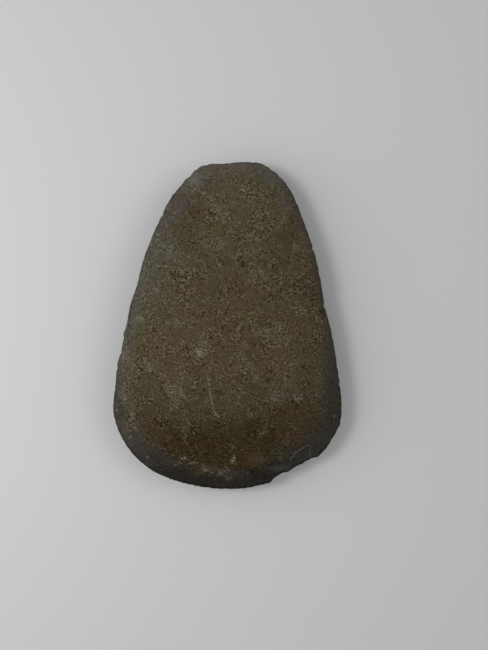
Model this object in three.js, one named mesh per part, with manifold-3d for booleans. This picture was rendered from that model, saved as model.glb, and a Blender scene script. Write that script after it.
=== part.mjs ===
import * as THREE from "three";
import { mergeVertices } from "three/addons/utils/BufferGeometryUtils.js";
import Module from "manifold-3d";

// Ground and polished stone axe head, lying on the flatter of its two broad faces.
// All lengths in millimetres. Narrow butt towards +Y, cutting edge towards -Y, upper face towards +Z.
// The origin is the bottom centre of the bounding box.

// Overall size of the stone, and the swell of each face over the edge line
const LENGTH = 110;
const WIDTH = 77;
const UPPER_CROWN = 9.8;
const LOWER_CROWN = 9.2;

// Broad faces: radii of curvature, and how far the crown lies towards the butt
const FACE_RADIUS_ACROSS = 170;
const FACE_RADIUS_ALONG = 300;
const CROWN_TOWARDS_BUTT = 3;

// Rounding of the narrow sides and the butt, from the edge line to the broad face
const SIDE_ROUNDING = 9;
const SIDE_FULLNESS = 2.2;

// Grinding of the blade: how far the bevel runs up the face, how full it is,
// and over what distance from the tip of the blade it dies out into the sides
const BEVEL_LENGTH = 24;
const BEVEL_FULLNESS = 1.5;
const BEVEL_WHOLE = 13;
const BEVEL_GONE = 29;

// Small worn flats: the foot it rests on, and the struck end of the butt
const FOOT_WEAR = 0.4;
const POLL_WEAR = 0.25;

// Fineness of the faceted skin
const SKIN_DETAIL = 28;
const EDGE_CROWDING = 1.6;
const SCOOP_DETAIL = 8;

// Outline seen from above, anticlockwise from the right-hand side:
// share of the width from the middle, share of the length from the cutting edge.
const OUTLINE = [
  [0.466, 0.441],
  [0.43, 0.563],
  [0.384, 0.714],
  [0.333, 0.821],
  [0.287, 0.902],
  [0.23, 0.957],
  [0.152, 0.995],
  [0.087, 1.002],
  [-0.088, 0.994],
  [-0.138, 0.979],
  [-0.183, 0.947],
  [-0.243, 0.897],
  [-0.302, 0.812],
  [-0.352, 0.73],
  [-0.42, 0.568],
  [-0.456, 0.465],
  [-0.484, 0.367],
  [-0.5, 0.248],
  [-0.491, 0.206],
  [-0.439, 0.13],
  [-0.329, 0.056],
  [-0.163, 0.014],
  [0.025, 0.0],
  [0.17, 0.017],
  [0.319, 0.056],
  [0.446, 0.136],
  [0.494, 0.194],
  [0.5, 0.266],
];

// Long shallow hollows of the outline, left by the first knapping and only half ground away.
// "at" is the share of the way round the outline.
const HOLLOWS = {
  rightFlank: { at: 0.046, width: 21, depth: 0.4 },
  butt: { at: 0.264, width: 13, depth: 0.55 },
  leftFlankUpper: { at: 0.444, width: 12, depth: 0.4 },
  leftFlankMiddle: { at: 0.488, width: 10, depth: 0.4 },
  leftFlankLower: { at: 0.518, width: 9.5, depth: 0.6 },
  leftCheek: { at: 0.561, width: 15, depth: 0.35 },
};

// Flake scars bitten through the edge line: width and bite are measured on it, bowl is the
// radius inwards, and rise and tall set the height of the middle of the bite and its half height.
const EDGE_SCARS = {
  shoulderUpper: { at: 0.307, width: 5.2, bite: 0.65, bowl: 5, rise: 1.5, tall: 9 },
  shoulderLower: { at: 0.328, width: 6.4, bite: 0.6, bowl: 5, rise: 1.5, tall: 9 },
  chipNear: { at: 0.822, width: 9.5, bite: 2.3, bowl: 3.2, rise: -1.5, tall: 6 },
  chipMiddle: { at: 0.839, width: 10.5, bite: 2.3, bowl: 3.2, rise: -1.5, tall: 6 },
  chipFar: { at: 0.852, width: 8.6, bite: 1.8, bowl: 3, rise: -1.5, tall: 6 },
  bladeCorner: { at: 0.895, width: 4.8, bite: 0.55, bowl: 4, rise: 0.5, tall: 6 },
};

// Flake scars spalled off a broad face: inset is the way in from the edge line to their middle.
const FACE_SCARS = {
  spallNear: { at: 0.849, inset: 3.3, face: 1, width: 8.4, reach: 5.4, depth: 0.6, bowl: 2 },
  spallFar: { at: 0.8625, inset: 3.3, face: 1, width: 4.8, reach: 5.6, depth: 0.65, bowl: 2 },
};

const FULL_TURN = Math.PI * 2;

const outline = new THREE.CatmullRomCurve3(
  OUTLINE.map(([across, along]) => new THREE.Vector3(across * WIDTH, (along - 0.5) * LENGTH, 0)),
  true,
  "centripetal",
);
outline.arcLengthDivisions = 1200;
const outlineLength = outline.getLength();

// Place, run and outward direction of the outline at a share of the way round,
// with the distance from the middle of the stone to the tangent there.
function edgeAt(at) {
  const share = THREE.MathUtils.euclideanModulo(at, 1);
  const place = outline.getPointAt(share);
  const run = outline.getTangentAt(share);
  const outward = new THREE.Vector3(run.y, -run.x, 0);
  return { place, run, outward, apothem: place.dot(outward) };
}

function hollowDepth(at) {
  let depth = 0;
  for (const hollow of Object.values(HOLLOWS)) {
    const away = THREE.MathUtils.euclideanModulo(at - hollow.at + 0.5, 1) - 0.5;
    const part = Math.abs(away * outlineLength) / (hollow.width / 2);
    if (part < 1) {
      depth += hollow.depth * Math.cos((part * Math.PI) / 2) ** 2;
    }
  }
  return depth;
}

// Swell of a broad face over the edge line, before its rim is rounded
function faceHeight(x, y, crown) {
  const along = y - CROWN_TOWARDS_BUTT;
  return crown - x ** 2 / (2 * FACE_RADIUS_ACROSS) - along ** 2 / (2 * FACE_RADIUS_ALONG);
}

// A point of the ground skin. "inwards" is 0 on the edge line and 1 in the middle of the face,
// and "face" is 1 on the upper face, -1 on the lower one and 0 on the edge line.
function skinPoint(at, inwards, face) {
  const { place, outward, apothem } = edgeAt(at);
  place.addScaledVector(outward, -hollowDepth(at));
  const fromBlade = LENGTH / 2 + place.y;
  const blade = 1 - THREE.MathUtils.smoothstep(fromBlade, BEVEL_WHOLE, BEVEL_GONE);
  const reach = THREE.MathUtils.lerp(SIDE_ROUNDING, BEVEL_LENGTH, blade);
  const fullness = THREE.MathUtils.lerp(SIDE_FULLNESS, BEVEL_FULLNESS, blade);
  const open = Math.max(1 - (inwards * apothem) / reach, 0);
  const rim = (1 - open ** fullness) ** (1 / fullness);
  const point = place.multiplyScalar(1 - inwards);
  const crown = face > 0 ? UPPER_CROWN : LOWER_CROWN + FOOT_WEAR;
  point.z = face * rim * faceHeight(point.x, point.y, crown);
  return point;
}

function merged(geometry) {
  geometry.deleteAttribute("normal");
  geometry.deleteAttribute("uv");
  return mergeVertices(geometry);
}

// The ground blank: a ball whose equator is drawn out to the outline
function groundBlank() {
  const skin = merged(new THREE.OctahedronGeometry(1, SKIN_DETAIL));
  const points = skin.attributes.position;
  for (let i = 0; i < points.count; i += 1) {
    const up = points.getZ(i);
    const at = Math.atan2(points.getY(i), points.getX(i)) / FULL_TURN;
    const climb = Math.asin(Math.min(Math.abs(up), 1)) / (Math.PI / 2);
    const point = skinPoint(at, climb ** EDGE_CROWDING, Math.sign(up));
    points.setXYZ(i, point.x, point.y, point.z);
  }
  return skin;
}

const wasm = await Module();
wasm.setup();

function toSolid(geometry) {
  const mesh = new wasm.Mesh({
    numProp: 3,
    vertProperties: Float32Array.from(geometry.attributes.position.array),
    triVerts: Uint32Array.from(geometry.index.array),
  });
  return new wasm.Manifold(mesh);
}

function edgeScar({ at, width, bite, bowl, rise, tall }) {
  const { place, run, outward } = edgeAt(at);
  const waist = Math.sqrt(1 - (rise / tall) ** 2);
  const out = bowl * waist - bite;
  const across = width / 2 / Math.sqrt(waist ** 2 - (out / bowl) ** 2);
  const ball = merged(new THREE.IcosahedronGeometry(1, SCOOP_DETAIL));
  ball.scale(across, bowl, tall);
  ball.rotateZ(Math.atan2(run.y, run.x));
  ball.translate(place.x + outward.x * out, place.y + outward.y * out, rise);
  return toSolid(ball);
}

function faceScar({ at, inset, face, width, reach, depth, bowl }) {
  const inwards = inset / edgeAt(at).apothem;
  const step = 0.001;
  const place = skinPoint(at, inwards, face);
  const run = skinPoint(at + step, inwards, face).sub(place).normalize();
  const climb = skinPoint(at, inwards + step, face).sub(place).normalize();
  const normal = new THREE.Vector3().crossVectors(run, climb).multiplyScalar(face).normalize();
  const side = new THREE.Vector3().crossVectors(normal, run);
  const spread = Math.sqrt(1 - (1 - depth / bowl) ** 2);
  const ball = merged(new THREE.IcosahedronGeometry(1, SCOOP_DETAIL));
  ball.scale(width / 2 / spread, reach / 2 / spread, bowl);
  const pose = new THREE.Matrix4().makeBasis(run, side, normal);
  pose.setPosition(place.addScaledVector(normal, bowl - depth));
  ball.applyMatrix4(pose);
  return toSolid(ball);
}

let stone = toSolid(groundBlank());
for (const scar of Object.values(EDGE_SCARS)) {
  stone = stone.subtract(edgeScar(scar));
}
for (const scar of Object.values(FACE_SCARS)) {
  stone = stone.subtract(faceScar(scar));
}

// Worn foot and worn poll: flat planes cut just inside the skin
const slab = 2 * LENGTH;
const foot = merged(new THREE.BoxGeometry(slab, slab, slab));
foot.translate(0, 0, -LOWER_CROWN - slab / 2);
stone = stone.subtract(toSolid(foot));
const pollReach = Math.max(...outline.getPoints(400).map((point) => point.y)) - POLL_WEAR;
const poll = merged(new THREE.BoxGeometry(slab, slab, slab));
poll.translate(0, pollReach + slab / 2, 0);
stone = stone.subtract(toSolid(poll));

const cut = stone.getMesh();
const body = new THREE.BufferGeometry();
body.setAttribute("position", new THREE.BufferAttribute(Float32Array.from(cut.vertProperties), 3));
body.setIndex(new THREE.BufferAttribute(Uint32Array.from(cut.triVerts), 1));
body.computeBoundingBox();
const middle = body.boundingBox.getCenter(new THREE.Vector3());
body.translate(-middle.x, -middle.y, -body.boundingBox.min.z);
body.computeVertexNormals();

const polishedStone = new THREE.MeshStandardMaterial({ color: 0x4a4132, roughness: 0.55 });
const axeHead = new THREE.Mesh(body, polishedStone);
axeHead.name = "axe_head";

const group = new THREE.Group();
group.name = "stone_axe";
group.add(axeHead);

export default group;
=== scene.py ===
import math

import bmesh
import bpy
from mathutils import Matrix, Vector, kdtree, noise


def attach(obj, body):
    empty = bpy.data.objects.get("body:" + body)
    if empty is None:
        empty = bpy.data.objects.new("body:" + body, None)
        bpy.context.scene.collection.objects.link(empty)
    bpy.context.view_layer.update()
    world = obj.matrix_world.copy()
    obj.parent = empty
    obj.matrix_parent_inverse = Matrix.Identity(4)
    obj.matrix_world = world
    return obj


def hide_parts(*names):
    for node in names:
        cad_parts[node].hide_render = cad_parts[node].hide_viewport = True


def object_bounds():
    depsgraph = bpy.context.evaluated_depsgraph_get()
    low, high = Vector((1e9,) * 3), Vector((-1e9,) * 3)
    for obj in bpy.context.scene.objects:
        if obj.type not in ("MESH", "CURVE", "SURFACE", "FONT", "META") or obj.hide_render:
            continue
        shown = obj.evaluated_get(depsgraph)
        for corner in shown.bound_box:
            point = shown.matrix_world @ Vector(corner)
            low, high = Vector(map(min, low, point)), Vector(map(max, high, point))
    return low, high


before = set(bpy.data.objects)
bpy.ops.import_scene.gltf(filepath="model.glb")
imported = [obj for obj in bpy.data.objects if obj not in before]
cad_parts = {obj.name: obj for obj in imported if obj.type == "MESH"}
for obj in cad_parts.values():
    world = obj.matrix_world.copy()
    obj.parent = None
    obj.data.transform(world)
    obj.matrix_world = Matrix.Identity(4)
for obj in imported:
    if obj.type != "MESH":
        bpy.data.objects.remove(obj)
cad_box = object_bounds()

# The axe head is one piece of dark, fine-grained stone. It was flaked and pecked to shape, then
# ground and polished all over. Its faces carry a speckled olive-brown patina, its rim and its
# blade are worn back to charcoal grey, and old flake scars break its edge.
MM = 0.001

# The height of the stone's edge, and how near it a point is on the outline, in millimetres
EDGE_HEIGHT, OUTLINE_BAND = 9.2, 0.3

# How the stone's facets become one even skin
DOUBLES_GAP = 0.001 * MM
CRISP_ANGLE = math.radians(24)
SKIN_VOXEL = 0.44 * MM
POLISH_PASSES = 6

# Relief of the ground surface: the size of each form and its height or depth, in millimetres
SWELL_SIZE, SWELL_HEIGHT = 19.0, 0.12
RIPPLE_SIZE, RIPPLE_HEIGHT = 5.0, 0.035
RIPPLE_SHIFT = Vector((7.0, 3.0, 1.0))
PECK_SIZE, PECK_DEPTH = 1.7, 0.07
PECK_ROUNDING = (0.05, 0.5)
FACE_PECKING, SIDE_PECKING = 0.25, 0.75
RIM_WEAR_SIZE, RIM_WEAR_DEPTH = 1.9, 0.4
RIM_WEAR_NOISE = (-0.1, 0.5)
SKIN_SINK, EDGE_FILL = 0.1, 0.25

# How far in from the edge the relief fades out, in millimetres, and how the blade changes it
PECK_INSET = (3.0, 12.0)
RIM_WEAR_INSET, BLADE_WEAR_LOSS = (0.5, 3.0), 0.7
EDGE_FILL_INSET, BLADE_FILL_GAIN = (0.3, 2.5), 0.5

# Colours of the polished face, from its middle towards the butt, the left side and the blade
BROWN = Vector((0.079, 0.0587, 0.0309))
OLIVE = Vector((0.081, 0.0665, 0.0335))
GREYED_OLIVE = Vector((0.084, 0.0710, 0.0430))
UMBER = Vector((0.0390, 0.0258, 0.0088))

# Colours of the worn rim, from the butt round the left side to the blade and up the right side
BUTT_GREY = Vector((0.105, 0.088, 0.070))
FLANK_GREY = Vector((0.081, 0.0715, 0.0515))
LEFT_SLATE = Vector((0.047, 0.040, 0.034))
CHARCOAL = Vector((0.0215, 0.0190, 0.0154))
RIGHT_SLATE = Vector((0.0330, 0.0302, 0.0250))
RIM_BROWN = Vector((0.058, 0.048, 0.033))

# Where the rim's tones begin and end to change, in millimetres: away from the middle to the left or
# to the right, and from the blade, which is negative, to the butt
LEFT_RIM, RIGHT_RIM = (20.0, 34.0), (10.0, 28.0)
BLADE_END, BUTT_END = (-43.0, -31.0), (44.0, 50.0)
RIGHT_BROWNING, RIGHT_WEAR = (-34.0, 2.0), (-32.0, 6.0)
RIGHT_CHARRING = (30.0, 48.0)

# How far the wear reaches in from the edge, in millimetres, with what the blade's corners and the
# lower right side add, and the noise that makes its border wander
BLADE_REACH, BLADE_CORNER_REACH = 4.4, 2.2
BLADE_MIDDLE, BLADE_CORNERS = 1.0, (8.0, 22.0)
RIGHT_REACH, LOWER_RIGHT_REACH, LOWER_RIGHT_LOSS = 1.8, 6.6, 0.3
LEFT_REACH, BUTT_REACH = 5.1, 4.4
WANDER_SIZE, WANDER_REACH = 6.0, 1.3
RAGGED_SIZE, RAGGED_REACH = 1.9, 1.1
RAGGED_SHIFT = Vector((3.0, 8.0, 5.0))
CRISP_BORDER, SOFT_BORDER = 0.3, 0.25
SOFT_SIDES, SOFT_TOP, SOFT_TOP_GAIN = (8.0, 25.0), (20.0, 45.0), 2.0

# Where the face's own tones begin and end to change, and how strongly: the names with TOP and
# SHOULDER count towards the butt, those with LOW towards the blade
OLIVE_TOP = (10.0, 34.0)
GREYED_LEFT, GREYED_SHOULDER, LEFT_GREYING = (8.0, 24.0), (-6.0, 18.0), 0.8
GREYED_TOP, TOP_GREYING = (32.0, 46.0), 0.7
DIM_LOW, DIMMING = (14.0, 23.0), 0.15
UMBER_LOW, UMBER_MIDDLE, UMBER_SIDES, SIDE_FADING = (25.0, 38.0), -1.0, (13.0, 28.0), 0.4

# Strength of the grain, and share of white flecks, on the face, in its umber part, on the charred
# rim and on the crusted rim
FACE_GRAIN, COARSER_GRAIN, UMBER_SMOOTHING = 1.12, 0.25, 0.58
COARSE_TOP = (6.0, 28.0)
CHARRED_GRAIN, CRUSTED_GRAIN = 0.27, 1.25
BUTT_GRAIN, BUTT_SMOOTHING = (40.0, 48.0), 0.3
FACE_FLECKS, UMBER_FLECK_LOSS = 0.055, 0.025
CHARRED_FLECKS, CRUSTED_FLECKS = 0.015, 0.15
# Painted shade at the outline, where the steep edge turns from the light: strength and fading inset in mm
OUTLINE_PAINTED_SHADE, OUTLINE_SHADE_INSET = 0.3, (0.1, 1.0)

# The photograph's scale in millimetres a pixel at the edge height, its pixel over the origin, and
# the place and distance, in millimetres, from which it looks straight down on the stone
MM_PER_PIXEL = 0.3371
ORIGIN_PIXEL = (227.2, 325.7)
VIEW_CENTRE = Vector((5.6, 0.3, EDGE_HEIGHT))
VIEW_DISTANCE = 300.0

# Stains on the upper face, each with its colour, the grain left in it and its share of white
# flecks. Places are pixels of the photograph: x, y, half width, half height, then strength. A
# stain fades out between two shares of its half size, and nothing past the limit is tried.
STAIN_LIMIT, STAIN_FADE, STAIN_RAGGEDNESS = 2.2, (0.3, 1.5), 0.5
STAINS = {
    "dull_olive": {"colour": (0.066, 0.052, 0.029), "grain": 0.7, "flecks": 0.0, "places": [
        (286, 244, 13, 30, 0.8), (280, 288, 13, 22, 0.5), (186, 232, 16, 22, 0.5),
        (212, 280, 9, 24, 0.5), (145, 378, 6, 24, 0.7), (308, 376, 13, 38, 0.6), (322, 352, 7, 16, 0.6),
        (196, 397, 36, 12, 0.35)]},
    "chestnut": {"colour": (0.054, 0.037, 0.0145), "grain": 0.6, "flecks": 0.0, "places": [
        (296, 412, 30, 14, 0.75)]},
    "dark_brown": {"colour": (0.036, 0.023, 0.007), "grain": 0.7, "flecks": 0.0, "places": [
        (250, 428, 8, 8, 0.8), (216, 446, 16, 8, 0.25), (166, 461, 6, 4, 0.6), (243, 264, 4, 6, 0.5),
        (165, 425, 10, 7, 0.3)]},
    "rosy_brown": {"colour": (0.074, 0.053, 0.034), "grain": 0.7, "flecks": 0.0, "places": [
        (188, 205, 16, 12, 0.6)]},
    "reddish_brown": {"colour": (0.062, 0.0405, 0.021), "grain": 0.7, "flecks": 0.0, "places": [
        (198, 213, 9, 9, 0.55), (306, 290, 9, 9, 0.7), (290, 436, 15, 7, 0.8), (256, 459, 13, 8, 0.8),
        (232, 282, 15, 11, 0.3), (175, 285, 13, 9, 0.3), (335, 405, 6, 14, 0.3)]},
    "plum_brown": {"colour": (0.048, 0.0325, 0.02), "grain": 0.35, "flecks": 0.0, "places": [
        (315, 424, 15, 7, 0.85), (307, 432, 8, 6, 0.5)]},
    "moss_green": {"colour": (0.073, 0.066, 0.031), "grain": 1.0, "flecks": 0.0, "places": [
        (213, 228, 10, 12, 0.8), (236, 238, 9, 7, 0.6), (139, 334, 5, 14, 0.8), (247, 215, 14, 12, 0.4)]},
    "ochre": {"colour": (0.1, 0.081, 0.036), "grain": 1.3, "flecks": 0.12, "places": [
        (258, 270, 6, 7, 0.7), (264, 331, 8, 5, 0.7), (292, 382, 8, 8, 0.5), (249, 318, 13, 8, 0.35)]},
    "bottle_green": {"colour": (0.041, 0.0365, 0.017), "grain": 0.6, "flecks": 0.0, "places": [
        (279, 455, 10, 7, 0.9)]},
    "sage_grey": {"colour": (0.083, 0.077, 0.055), "grain": 1.0, "flecks": 0.12, "places": [
        (169, 250, 11, 11, 0.9), (151, 240, 7, 10, 0.5)]},
    "pinkish_grey": {"colour": (0.086, 0.067, 0.056), "grain": 0.5, "flecks": 0.02, "places": [
        (178, 206, 9, 10, 0.9), (163, 226, 6, 10, 0.5), (303, 219, 5, 16, 0.5)]},
    "near_black": {"colour": (0.013, 0.011, 0.009), "grain": 0.3, "flecks": 0.0, "places": [
        (265, 476, 3, 2.5, 0.8), (322, 312, 3, 5, 0.6), (243, 264, 2, 4, 0.3)]},
    "smooth_brown": {"colour": (0.061, 0.048, 0.0245), "grain": 0.1, "flecks": 0.0, "places": [
        (285, 236, 9, 8, 0.95), (226, 259, 5, 4, 0.6), (196, 300, 10, 6, 0.3), (262, 305, 8, 5, 0.35),
        (247, 288, 6, 4, 0.35)]},
    "shoulder_grey": {"colour": (0.098, 0.09, 0.072), "grain": 0.35, "flecks": 0.0, "places": [
        (274, 179, 9, 7, 0.9), (285, 200, 6, 14, 0.5)]},
    "pale_grey": {"colour": (0.128, 0.118, 0.098), "grain": 1.2, "flecks": 0.2, "places": [
        (193, 180, 9, 7, 0.9)]},
    "corner_green": {"colour": (0.049, 0.0475, 0.033), "grain": 0.3, "flecks": 0.0, "places": [
        (118, 414, 9, 14, 0.95), (117, 390, 4, 14, 0.6), (148, 463, 8, 5, 0.5)]},
    "facet_grey": {"colour": (0.05, 0.046, 0.037), "grain": 0.2, "flecks": 0.0, "places": [
        (280, 467.5, 12, 3, 0.95)]},
    "scar_grey": {"colour": (0.036, 0.034, 0.0285), "grain": 0.2, "flecks": 0.0, "places": [
        (300, 455, 8, 5, 0.95), (333, 432, 6, 14, 0.5)]},
    "green_grey": {"colour": (0.043, 0.04, 0.028), "grain": 0.3, "flecks": 0.0, "places": [
        (320, 438, 7, 5, 0.7)]},
    "purple_grey": {"colour": (0.05, 0.042, 0.036), "grain": 0.4, "flecks": 0.03, "places": [
        (132, 442, 9, 13, 0.8), (120, 429, 4, 8, 0.6), (170, 461, 12, 6, 0.5), (152, 452, 10, 8, 0.4)]},
    "ash_grey": {"colour": (0.052, 0.046, 0.038), "grain": 1.0, "flecks": 0.15, "places": [
        (219, 472, 20, 5, 0.6), (240, 475, 10, 4, 0.3), (180, 464, 10, 4, 0.35)]},
    "pale_crust": {"colour": (0.1, 0.083, 0.057), "grain": 1.5, "flecks": 0.65, "places": [
        (199, 352, 7, 7, 0.75), (202, 345, 4, 6, 0.45), (173, 390, 9, 9, 0.5), (175, 404, 6, 5, 0.6),
        (150, 366, 8, 5, 0.5), (188, 397, 7, 5, 0.4), (240, 358, 8, 11, 0.35), (250, 369, 5, 5, 0.4),
        (256, 378, 5, 4, 0.6), (276, 397, 9, 5, 0.6), (297, 398, 5, 4, 0.6), (218, 208, 6, 4, 0.6),
        (247, 193, 10, 5, 0.4), (256, 217, 5, 4, 0.4), (282, 220, 4, 5, 0.5), (296, 247, 4, 5, 0.6),
        (273, 239, 4, 4, 0.4), (288, 271, 6, 4, 0.4), (299, 311, 8, 5, 0.4), (138, 318, 5, 4, 0.9),
        (177, 321, 5, 5, 0.5), (191, 257, 5, 5, 0.4), (194, 270, 3, 3, 0.5), (251, 269, 4, 6, 0.4),
        (277, 325, 5, 4, 0.4), (125, 355, 4, 9, 0.6), (130, 372, 7, 12, 0.35), (125, 398, 3, 5, 0.5),
        (190, 190, 9, 7, 0.6), (133, 412, 4, 12, 0.4),
        (270, 334, 16, 8, 0.3), (185, 428, 5, 14, 0.25), (263, 432, 5, 5, 0.25)]},
    "white_crust": {"colour": (0.092, 0.073, 0.049), "grain": 1.5, "flecks": 0.75, "places": [
        (232.5, 460.5, 3, 3.5, 0.8), (207, 469, 5, 2.5, 0.55), (203, 466, 3, 2, 0.4),
        (184, 458, 4, 2.5, 0.45), (192, 463, 4, 2, 0.4), (214, 468, 4, 2, 0.35), (225, 471, 5, 2.5, 0.4),
        (229, 478, 4, 3, 0.35), (233, 449, 2.5, 3, 0.4), (220, 474, 4, 2, 0.3)]},
}

# Single white specks, at pixels of the photograph, and how far in pixels and how strongly each shows
SPECK_WHITE = Vector((0.26, 0.235, 0.19))
SPECK_REACH, SPECK_SPREAD, SPECK_STRENGTH = 3.5, 0.8, 0.75
WHITE_SPECKS = [
    (334, 416), (316, 317), (292.5, 281), (278, 227), (116.5, 410), (130, 437), (147, 457),
    (124.5, 399), (232.5, 461), (234, 458), (137, 317), (143, 319), (194, 270), (205, 470), (184, 458),
    (256, 378), (134, 427), (198, 352), (201, 349), (194, 201),
]

# A long scratch, and the lips of the scar beside the chipped corner: their height on the stone and
# their width in millimetres, and their course in pixels of the photograph
SCRATCH_HEIGHT, SCRATCH_WIDTH = 17.5, 0.45
SCRATCH = [(207.7, 375), (208.8, 383), (210, 392), (211.7, 402), (213.3, 409), (215.5, 414), (218.8, 417)]
LIP_HEIGHT, LIP_WIDTH = 11.0, 0.36
SCAR_LIP = [
    (290.2, 459.5), (291.3, 457), (293.4, 454.5), (295.6, 452.2), (298.4, 450.5), (303.8, 446.8),
    (309.3, 445)]
SIDE_LIP = [(309.3, 445), (310.6, 446), (309.7, 450.5), (309.7, 454), (310.6, 457.3)]

stone = bpy.data.objects.new("ground_stone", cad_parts["axe_head"].data.copy())
bpy.context.scene.collection.objects.link(stone)

shape = bmesh.new()
shape.from_mesh(stone.data)
bmesh.ops.remove_doubles(shape, verts=shape.verts, dist=DOUBLES_GAP)
crease = shape.edges.layers.float.new("crease_edge")
for edge in shape.edges:
    if edge.calc_face_angle(0.0) > CRISP_ANGLE:
        edge[crease] = 1.0
shape.to_mesh(stone.data)
shape.free()

rounding = stone.modifiers.new("rounding", "SUBSURF")
rounding.levels = 2
rounding.render_levels = 2
even_skin = stone.modifiers.new("even_skin", "REMESH")
even_skin.mode = "VOXEL"
even_skin.voxel_size = SKIN_VOXEL
polish = stone.modifiers.new("polish", "SMOOTH")
polish.factor = 0.5
polish.iterations = POLISH_PASSES
depsgraph = bpy.context.evaluated_depsgraph_get()
stone.data = bpy.data.meshes.new_from_object(stone.evaluated_get(depsgraph))
stone.modifiers.clear()

edge_line = [
    vert.co / MM for vert in stone.data.vertices if abs(vert.co.z / MM - EDGE_HEIGHT) < OUTLINE_BAND]
rim_tree = kdtree.KDTree(len(edge_line))
for index, place in enumerate(edge_line):
    rim_tree.insert((place.x, place.y, 0.0), index)
rim_tree.balance()


def ramp(value, low, high):
    """From 0 at low to 1 at high, with soft ends."""
    part = min(max((value - low) / (high - low), 0.0), 1.0)
    return part * part * (3.0 - 2.0 * part)


def pixel_of(place):
    """The pixel of the photograph at which a place on the stone shows."""
    nearness = VIEW_DISTANCE / (VIEW_DISTANCE + EDGE_HEIGHT - place.z)
    seen = (place - VIEW_CENTRE) * nearness + VIEW_CENTRE
    return ORIGIN_PIXEL[0] + seen.x / MM_PER_PIXEL, ORIGIN_PIXEL[1] - seen.y / MM_PER_PIXEL


def place_of(pixel, height):
    """The place, in millimetres, at the given height on the stone that shows at a pixel."""
    across = (pixel[0] - ORIGIN_PIXEL[0]) * MM_PER_PIXEL
    along = (ORIGIN_PIXEL[1] - pixel[1]) * MM_PER_PIXEL
    farness = (VIEW_DISTANCE + EDGE_HEIGHT - height) / VIEW_DISTANCE
    place = (Vector((across, along, EDGE_HEIGHT)) - VIEW_CENTRE) * farness + VIEW_CENTRE
    return Vector((place.x, place.y, 0.0))


def on_blade(place):
    """From 0 on the body of the stone to 1 on its blade."""
    return 1.0 - ramp(place.y, *BLADE_END)


def rim_colour(place):
    """The worn rim's colour at a place, and how far in from the edge its wear reaches there."""
    blade = on_blade(place)
    corner = ramp(abs(place.x - BLADE_MIDDLE), *BLADE_CORNERS)
    blade_reach = BLADE_REACH + BLADE_CORNER_REACH * corner
    colour = CHARCOAL.lerp(LEFT_SLATE, ramp(-place.x, *LEFT_RIM))
    colour = colour.lerp(RIGHT_SLATE, ramp(place.x, *RIGHT_RIM))
    if place.x > 0.0:
        colour = colour.lerp(RIM_BROWN, ramp(place.y, *RIGHT_BROWNING))
        lower_right = LOWER_RIGHT_REACH * (1.0 - ramp(place.y, *RIGHT_WEAR))
        lower_right *= 1.0 - LOWER_RIGHT_LOSS * blade
        reach = max(blade_reach * blade, RIGHT_REACH + lower_right)
    else:
        colour = colour.lerp(FLANK_GREY, 1.0 - blade)
        reach = blade_reach + (LEFT_REACH - blade_reach) * (1.0 - blade)
    butt = ramp(place.y, *BUTT_END)
    return colour.lerp(BUTT_GREY, butt), reach + (BUTT_REACH - reach) * butt


def face_colour(place):
    """The polished face's own colour at a place, before its stains, and its share of umber."""
    colour = BROWN.lerp(OLIVE, ramp(place.y, *OLIVE_TOP))
    greyed = LEFT_GREYING * ramp(-place.x, *GREYED_LEFT) * ramp(place.y, *GREYED_SHOULDER)
    colour = colour.lerp(GREYED_OLIVE, greyed)
    colour = colour.lerp(GREYED_OLIVE, TOP_GREYING * ramp(place.y, *GREYED_TOP))
    colour *= 1.0 - DIMMING * ramp(-place.y, *DIM_LOW)
    sides = ramp(abs(place.x - UMBER_MIDDLE), *UMBER_SIDES)
    umber = ramp(-place.y, *UMBER_LOW) * (1.0 - SIDE_FADING * sides)
    return colour.lerp(UMBER, umber), umber


def stained(place, ragged, colour, grit, flecks):
    """Colour, grain and flecks at a place of the upper face with its stains and specks on them."""
    seen_x, seen_y = pixel_of(place)
    for stain in STAINS.values():
        for x, y, across, along, strength in stain["places"]:
            away = math.hypot((seen_x - x) / across, (seen_y - y) / along)
            if away < STAIN_LIMIT:
                part = strength * (1.0 - ramp(away + STAIN_RAGGEDNESS * ragged, *STAIN_FADE))
                colour = colour.lerp(Vector(stain["colour"]), part)
                grit += (stain["grain"] - grit) * part
                flecks += (stain["flecks"] - flecks) * part
    for x, y in WHITE_SPECKS:
        away = math.hypot(seen_x - x, seen_y - y)
        if away < SPECK_REACH:
            colour = colour.lerp(SPECK_WHITE, SPECK_STRENGTH * math.exp(-away * away / SPECK_SPREAD))
    return colour, grit, flecks


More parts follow.
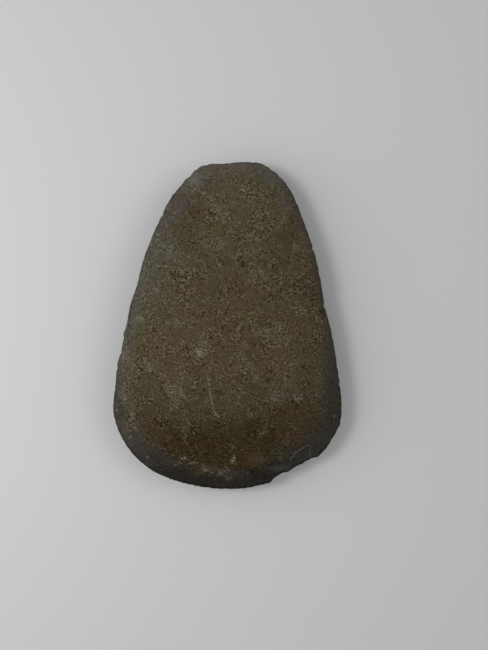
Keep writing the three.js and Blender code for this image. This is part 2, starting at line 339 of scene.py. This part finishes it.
def painted_skin(place, inset):
    """Colour, strength of grain and share of flecks at a place this far in from the edge."""
    wander = noise.noise(place / WANDER_SIZE)
    ragged = noise.noise(place / RAGGED_SIZE + RAGGED_SHIFT)
    worn, reach = rim_colour(place)
    colour, umber = face_colour(place)

    softness = max(ramp(abs(place.x), *SOFT_SIDES), SOFT_TOP_GAIN * ramp(place.y, *SOFT_TOP))
    blur = CRISP_BORDER + SOFT_BORDER * softness
    wandering_inset = inset + WANDER_REACH * wander + RAGGED_REACH * ragged
    cover = 1.0 - ramp(wandering_inset, reach * (1.0 - blur), reach * (1.0 + blur))
    colour = colour.lerp(worn, cover)

    charred = on_blade(place) if place.x < 0.0 else 1.0 - ramp(place.y, *RIGHT_CHARRING)
    rim_grain = CHARRED_GRAIN * charred + CRUSTED_GRAIN * (1.0 - charred)
    rim_grain *= 1.0 - BUTT_SMOOTHING * ramp(place.y, *BUTT_GRAIN)
    grit = FACE_GRAIN + COARSER_GRAIN * ramp(place.y, *COARSE_TOP) - UMBER_SMOOTHING * umber
    grit += (rim_grain - grit) * cover
    flecks = FACE_FLECKS - UMBER_FLECK_LOSS * umber
    flecks += (CHARRED_FLECKS + CRUSTED_FLECKS * (1.0 - charred) - flecks) * cover
    if place.z > EDGE_HEIGHT:
        colour, grit, flecks = stained(place, ragged, colour, grit, flecks)

    # Painted shade: colour and grain are darkened next to the edge, where the steep flank turns from the
    # light
    painted_edge_shade = 1.0 - OUTLINE_PAINTED_SHADE * (1.0 - ramp(inset, *OUTLINE_SHADE_INSET))
    return colour * painted_edge_shade, grit * painted_edge_shade, flecks


def relief(place, inset, blade):
    """How far the ground skin rises at a place, in millimetres."""
    rise = SWELL_HEIGHT * noise.noise(place / SWELL_SIZE)
    rise += RIPPLE_HEIGHT * noise.noise(place / RIPPLE_SIZE + RIPPLE_SHIFT)
    pecked = FACE_PECKING + SIDE_PECKING * (1.0 - blade) * (1.0 - ramp(inset, *PECK_INSET))
    pit = noise.voronoi(place / PECK_SIZE)[0][0]
    rise -= PECK_DEPTH * pecked * (1.0 - ramp(pit, *PECK_ROUNDING))
    worn_back = (1.0 - ramp(inset, *RIM_WEAR_INSET)) * (1.0 - BLADE_WEAR_LOSS * blade)
    rise -= RIM_WEAR_DEPTH * worn_back * ramp(noise.noise(place / RIM_WEAR_SIZE), *RIM_WEAR_NOISE)
    return rise - SKIN_SINK


skin = bmesh.new()
skin.from_mesh(stone.data)
tint = skin.verts.layers.float_color.new("tint")
grain = skin.verts.layers.float.new("grain")
fleck = skin.verts.layers.float.new("fleck")
skin.normal_update()
for vert in skin.verts:
    place = vert.co / MM
    inset = rim_tree.find((place.x, place.y, 0.0))[2]
    colour, vert[grain], vert[fleck] = painted_skin(place, inset)
    vert[tint] = (*colour, 1.0)

    blade = on_blade(place)
    fill = EDGE_FILL * (1.0 + BLADE_FILL_GAIN * blade) * (1.0 - ramp(inset, *EDGE_FILL_INSET))
    outwards = Vector((vert.normal.x, vert.normal.y, 0.0))
    vert.co += (vert.normal * relief(place, inset, blade) + outwards * fill) * MM
    vert.co = [min(max(value, low), high) for value, low, high in zip(vert.co, *cad_box)]
skin.to_mesh(stone.data)
skin.free()
stone.data.shade_smooth()

patina = bpy.data.materials.new("speckled_stone")
patina.use_nodes = True
nodes = patina.node_tree.nodes
links = patina.node_tree.links
nodes.clear()


def node(kind, **settings):
    """A new node of the stone's material, with the given settings."""
    made = nodes.new(kind)
    for name, value in settings.items():
        setattr(made, name, value)
    return made


def join(source, target):
    """A link from one node's output to another's input."""
    links.new(source, target)


def noise_at(where, size, detail, roughness=0.5):
    """Soft noise with forms of the given size."""
    made = node("ShaderNodeTexNoise")
    made.inputs["Scale"].default_value = 1.0 / size
    made.inputs["Detail"].default_value = detail
    made.inputs["Roughness"].default_value = roughness
    join(where, made.inputs["Vector"])
    return made.outputs["Fac"]


def grains_at(where, size):
    """Cells the size of a grain, each with a colour of its own."""
    made = node("ShaderNodeTexVoronoi")
    made.inputs["Scale"].default_value = 1.0 / size
    join(where, made.inputs["Vector"])
    return made


def spread(value, low, high, out_low=0.0, out_high=1.0):
    """A value's range from low to high, spread over another range with soft ends."""
    made = node("ShaderNodeMapRange", interpolation_type="SMOOTHSTEP")
    join(value, made.inputs["Value"])
    made.inputs["From Min"].default_value = low
    made.inputs["From Max"].default_value = high
    made.inputs["To Min"].default_value = out_low
    made.inputs["To Max"].default_value = out_high
    return made.outputs["Result"]


def maths(operation, first, second):
    """The result of one operation on two outputs or plain numbers."""
    made = node("ShaderNodeMath", operation=operation)
    for socket, value in zip(made.inputs, (first, second)):
        if isinstance(value, (int, float)):
            socket.default_value = value
        else:
            join(value, socket)
    return made.outputs["Value"]


def blend(cover, under, over):
    """One colour laid over another, as far as the cover says."""
    made = node("ShaderNodeMix", data_type="RGBA")
    join(cover, made.inputs["Factor"])
    for socket, value in ((made.inputs[6], under), (made.inputs[7], over)):
        if isinstance(value, tuple):
            socket.default_value = (*value, 1.0)
        else:
            join(value, socket)
    return made.outputs[2]


def painted(name):
    """A value painted on the stone's points."""
    return node("ShaderNodeAttribute", attribute_name=name).outputs["Fac"]


# Colours of the flecks, of one step of tone, of the darkest grain, and of the fine lines
WHITE_FLECK = (0.26, 0.23, 0.175)
GRAIN_TONE = (0.027, 0.0235, 0.018)
DARKEST_TONE = (0.006, 0.005, 0.004)
SCRATCH_PALE = (0.19, 0.165, 0.12)
LIP_PALE = (0.125, 0.115, 0.095)

# Sizes of the stone's pattern in millimetres, how strongly each swings its tone, and how far the
# dark side of that swing is held back
CLOUD_SIZE, CLOUD_SWING = 11.0, 1.2
MOTTLE_SIZE, MOTTLE_SWING = 2.4, 1.5
CROWDING_SIZE = 3.4
SPECKLE_SIZE, SPECKLE_SWING = 0.58, 4.8
GRAIN_SIZE, GRAIN_SWING = 0.5, 1.7
DARK_SIDE = 0.6
SPARSE_GRAIN, CROWDED_GRAIN = 0.4, 1.8

# How strongly the flecks and fine lines cover the stone, the height of its grain in millimetres,
# and its gloss
FLECK_STRENGTH, SCRATCH_STRENGTH = 0.75, 0.8
SCAR_LIP_STRENGTH, SIDE_LIP_STRENGTH = 0.9, 0.5
SPECKLE_BUMP, GRAIN_BUMP = 0.05, 0.03
ROUGHEST, SMOOTHEST, STONE_SPECULAR = 0.7, 0.5, 0.1

coordinates = node("ShaderNodeTexCoord")
in_mm = node("ShaderNodeMapping")
in_mm.inputs["Scale"].default_value = (1.0 / MM, 1.0 / MM, 1.0 / MM)
where = in_mm.outputs["Vector"]
join(coordinates.outputs["Object"], in_mm.inputs["Vector"])

clouds = noise_at(where, CLOUD_SIZE, 2.0, 0.6)
mottle = noise_at(where, MOTTLE_SIZE, 2.0, 0.6)
crowding = noise_at(where, CROWDING_SIZE, 1.0, 0.5)
speckle = noise_at(where, SPECKLE_SIZE, 0.0)
grains = grains_at(where, GRAIN_SIZE)
grain_tone = node("ShaderNodeSeparateColor")
join(grains.outputs["Color"], grain_tone.inputs["Color"])


def swing(value, amount):
    """A noise's swing to both sides of its middle, made this strong."""
    return maths("MULTIPLY", maths("SUBTRACT", value, 0.5), amount)


tone = maths("ADD", swing(speckle, SPECKLE_SWING), swing(grain_tone.outputs["Red"], GRAIN_SWING))
tone = maths("MAXIMUM", tone, maths("MULTIPLY", tone, DARK_SIDE))
tone = maths("MULTIPLY", tone, spread(crowding, 0.3, 0.7, SPARSE_GRAIN, CROWDED_GRAIN))
tone = maths("ADD", tone, swing(mottle, MOTTLE_SWING))
tone = maths("ADD", tone, swing(clouds, CLOUD_SWING))
tone = maths("MULTIPLY", tone, painted("grain"))
toned = node("ShaderNodeVectorMath", operation="MULTIPLY_ADD")
join(tone, toned.inputs[0])
toned.inputs[1].default_value = GRAIN_TONE
join(node("ShaderNodeAttribute", attribute_name="tint").outputs["Color"], toned.inputs[2])
floored = node("ShaderNodeVectorMath", operation="MAXIMUM")
join(toned.outputs["Vector"], floored.inputs[0])
floored.inputs[1].default_value = DARKEST_TONE

flat = node("ShaderNodeVectorMath", operation="MULTIPLY")
join(where, flat.inputs[0])
flat.inputs[1].default_value = (1.0, 1.0, 0.0)
height_here = node("ShaderNodeSeparateXYZ")
join(where, height_here.inputs["Vector"])
upper_face = maths("GREATER_THAN", height_here.outputs["Z"], EDGE_HEIGHT)
broken_line = spread(speckle, 0.3, 0.55, 0.3, 1.0)


def stroke(course, height, width):
    """How strongly a fine broken line marks the upper face, from its pixels, height and width."""
    points = [place_of(pixel, height) for pixel in course]
    nearest = None
    for start, end in zip(points, points[1:]):
        run = end - start
        offset = node("ShaderNodeVectorMath", operation="SUBTRACT")
        join(flat.outputs["Vector"], offset.inputs[0])
        offset.inputs[1].default_value = start
        along = node("ShaderNodeVectorMath", operation="DOT_PRODUCT")
        join(offset.outputs["Vector"], along.inputs[0])
        along.inputs[1].default_value = run / run.length_squared
        part = node("ShaderNodeMath", operation="ADD", use_clamp=True)
        join(along.outputs["Value"], part.inputs[0])
        part.inputs[1].default_value = 0.0
        foot = node("ShaderNodeVectorMath", operation="SCALE")
        foot.inputs[0].default_value = run
        join(part.outputs["Value"], foot.inputs["Scale"])
        gap = node("ShaderNodeVectorMath", operation="DISTANCE")
        join(offset.outputs["Vector"], gap.inputs[0])
        join(foot.outputs["Vector"], gap.inputs[1])
        away = gap.outputs["Value"]
        nearest = away if nearest is None else maths("MINIMUM", nearest, away)
    line = maths("MULTIPLY", spread(nearest, width * 0.25, width * 0.75, 1.0, 0.0), upper_face)
    return maths("MULTIPLY", line, broken_line)


scratch = stroke(SCRATCH, SCRATCH_HEIGHT, SCRATCH_WIDTH)
scar_lip = stroke(SCAR_LIP, LIP_HEIGHT, LIP_WIDTH)
side_lip = stroke(SIDE_LIP, LIP_HEIGHT, LIP_WIDTH)

chosen = spread(maths("SUBTRACT", painted("fleck"), grain_tone.outputs["Green"]), -0.02, 0.04)
flecked = maths("MULTIPLY", chosen, spread(grains.outputs["Distance"], 0.25, 0.55, 1.0, 0.0))
colour = blend(maths("MULTIPLY", flecked, FLECK_STRENGTH), floored.outputs["Vector"], WHITE_FLECK)
colour = blend(maths("MULTIPLY", scratch, SCRATCH_STRENGTH), colour, SCRATCH_PALE)
colour = blend(maths("MULTIPLY", scar_lip, SCAR_LIP_STRENGTH), colour, LIP_PALE)
colour = blend(maths("MULTIPLY", side_lip, SIDE_LIP_STRENGTH), colour, LIP_PALE)

grain_height = maths("MULTIPLY", grains.outputs["Distance"], GRAIN_BUMP)
height = maths("ADD", maths("MULTIPLY", speckle, SPECKLE_BUMP), grain_height)
bump = node("ShaderNodeBump")
bump.inputs["Strength"].default_value = 0.8
bump.inputs["Distance"].default_value = MM
join(height, bump.inputs["Height"])

surface = node("ShaderNodeBsdfPrincipled")
surface.inputs["Specular IOR Level"].default_value = STONE_SPECULAR
join(colour, surface.inputs["Base Color"])
join(spread(speckle, 0.3, 0.7, ROUGHEST, SMOOTHEST), surface.inputs["Roughness"])
join(bump.outputs["Normal"], surface.inputs["Normal"])
output = node("ShaderNodeOutputMaterial")
join(surface.outputs["BSDF"], output.inputs["Surface"])

stone.data.materials.clear()
stone.data.materials.append(patina)
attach(stone, "root")
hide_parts("axe_head")

# The floor is a plain pale sheet, matt like paper. It isn't part of the stone, and it is wide
# enough to lie under it in every view.
FLOOR_SIZE = 3.0
FLOOR_GREY = (0.74, 0.74, 0.75, 1.0)
floor_shape = bmesh.new()
bmesh.ops.create_grid(floor_shape, x_segments=1, y_segments=1, size=FLOOR_SIZE / 2)
floor_mesh = bpy.data.meshes.new("pale_floor")
floor_shape.to_mesh(floor_mesh)
floor_shape.free()
floor = bpy.data.objects.new("pale_floor", floor_mesh)
bpy.context.scene.collection.objects.link(floor)
matt_grey = bpy.data.materials.new("matt_pale_grey")
matt_grey.use_nodes = True
paint = matt_grey.node_tree.nodes["Principled BSDF"]
paint.inputs["Base Color"].default_value = FLOOR_GREY
paint.inputs["Roughness"].default_value = 0.9
paint.inputs["Specular IOR Level"].default_value = 0.2
floor_mesh.materials.append(matt_grey)

# Soft light: a lamp high on the left, a broad one low on the left, a large far one on the right,
# and even light from all round
LAMPS = {
    "high_lamp": {"place": (-0.21, 0.03, 0.39), "size": 0.14, "power": 0.46},
    "low_lamp": {"place": (-0.26, 0.0, 0.16), "size": 0.30, "power": 0.22},
    "far_lamp": {"place": (0.80, 0.15, 0.80), "size": 0.80, "power": 1.9},
}
ROOM_LIGHT = 0.34

for name, lamp in LAMPS.items():
    light = bpy.data.lights.new(name, "AREA")
    light.shape = "DISK"
    light.size = lamp["size"]
    light.energy = lamp["power"]
    place = Vector(lamp["place"])
    holder = bpy.data.objects.new(name, light)
    holder.location = place
    holder.rotation_euler = (-place).to_track_quat("-Z", "Y").to_euler()
    bpy.context.scene.collection.objects.link(holder)

room = bpy.data.worlds.new("room_light")
room.use_nodes = True
background = room.node_tree.nodes["Background"]
background.inputs["Color"].default_value = (1.0, 1.0, 1.0, 1.0)
background.inputs["Strength"].default_value = ROOM_LIGHT
bpy.context.scene.world = room
bpy.context.scene.view_settings.view_transform = "Standard"

# The camera looks straight down, a little to the right of the stone's middle, from the place that
# the stains were laid out for. Its lens gives the photograph's scale at the height of the edge.
IMAGE_HEIGHT = 650
LOOK_AT = VIEW_CENTRE * MM
CAMERA_DISTANCE = VIEW_DISTANCE * MM
SENSOR = 36.0

camera_data = bpy.data.cameras.new("camera")
camera_data.sensor_fit = "VERTICAL"
camera_data.sensor_height = SENSOR
camera_data.lens = SENSOR * CAMERA_DISTANCE / (IMAGE_HEIGHT * MM_PER_PIXEL * MM)
camera_data.clip_start = 0.01
camera = bpy.data.objects.new("camera", camera_data)
camera.location = LOOK_AT + Vector((0.0, 0.0, CAMERA_DISTANCE))
bpy.context.scene.collection.objects.link(camera)
bpy.context.scene.camera = camera
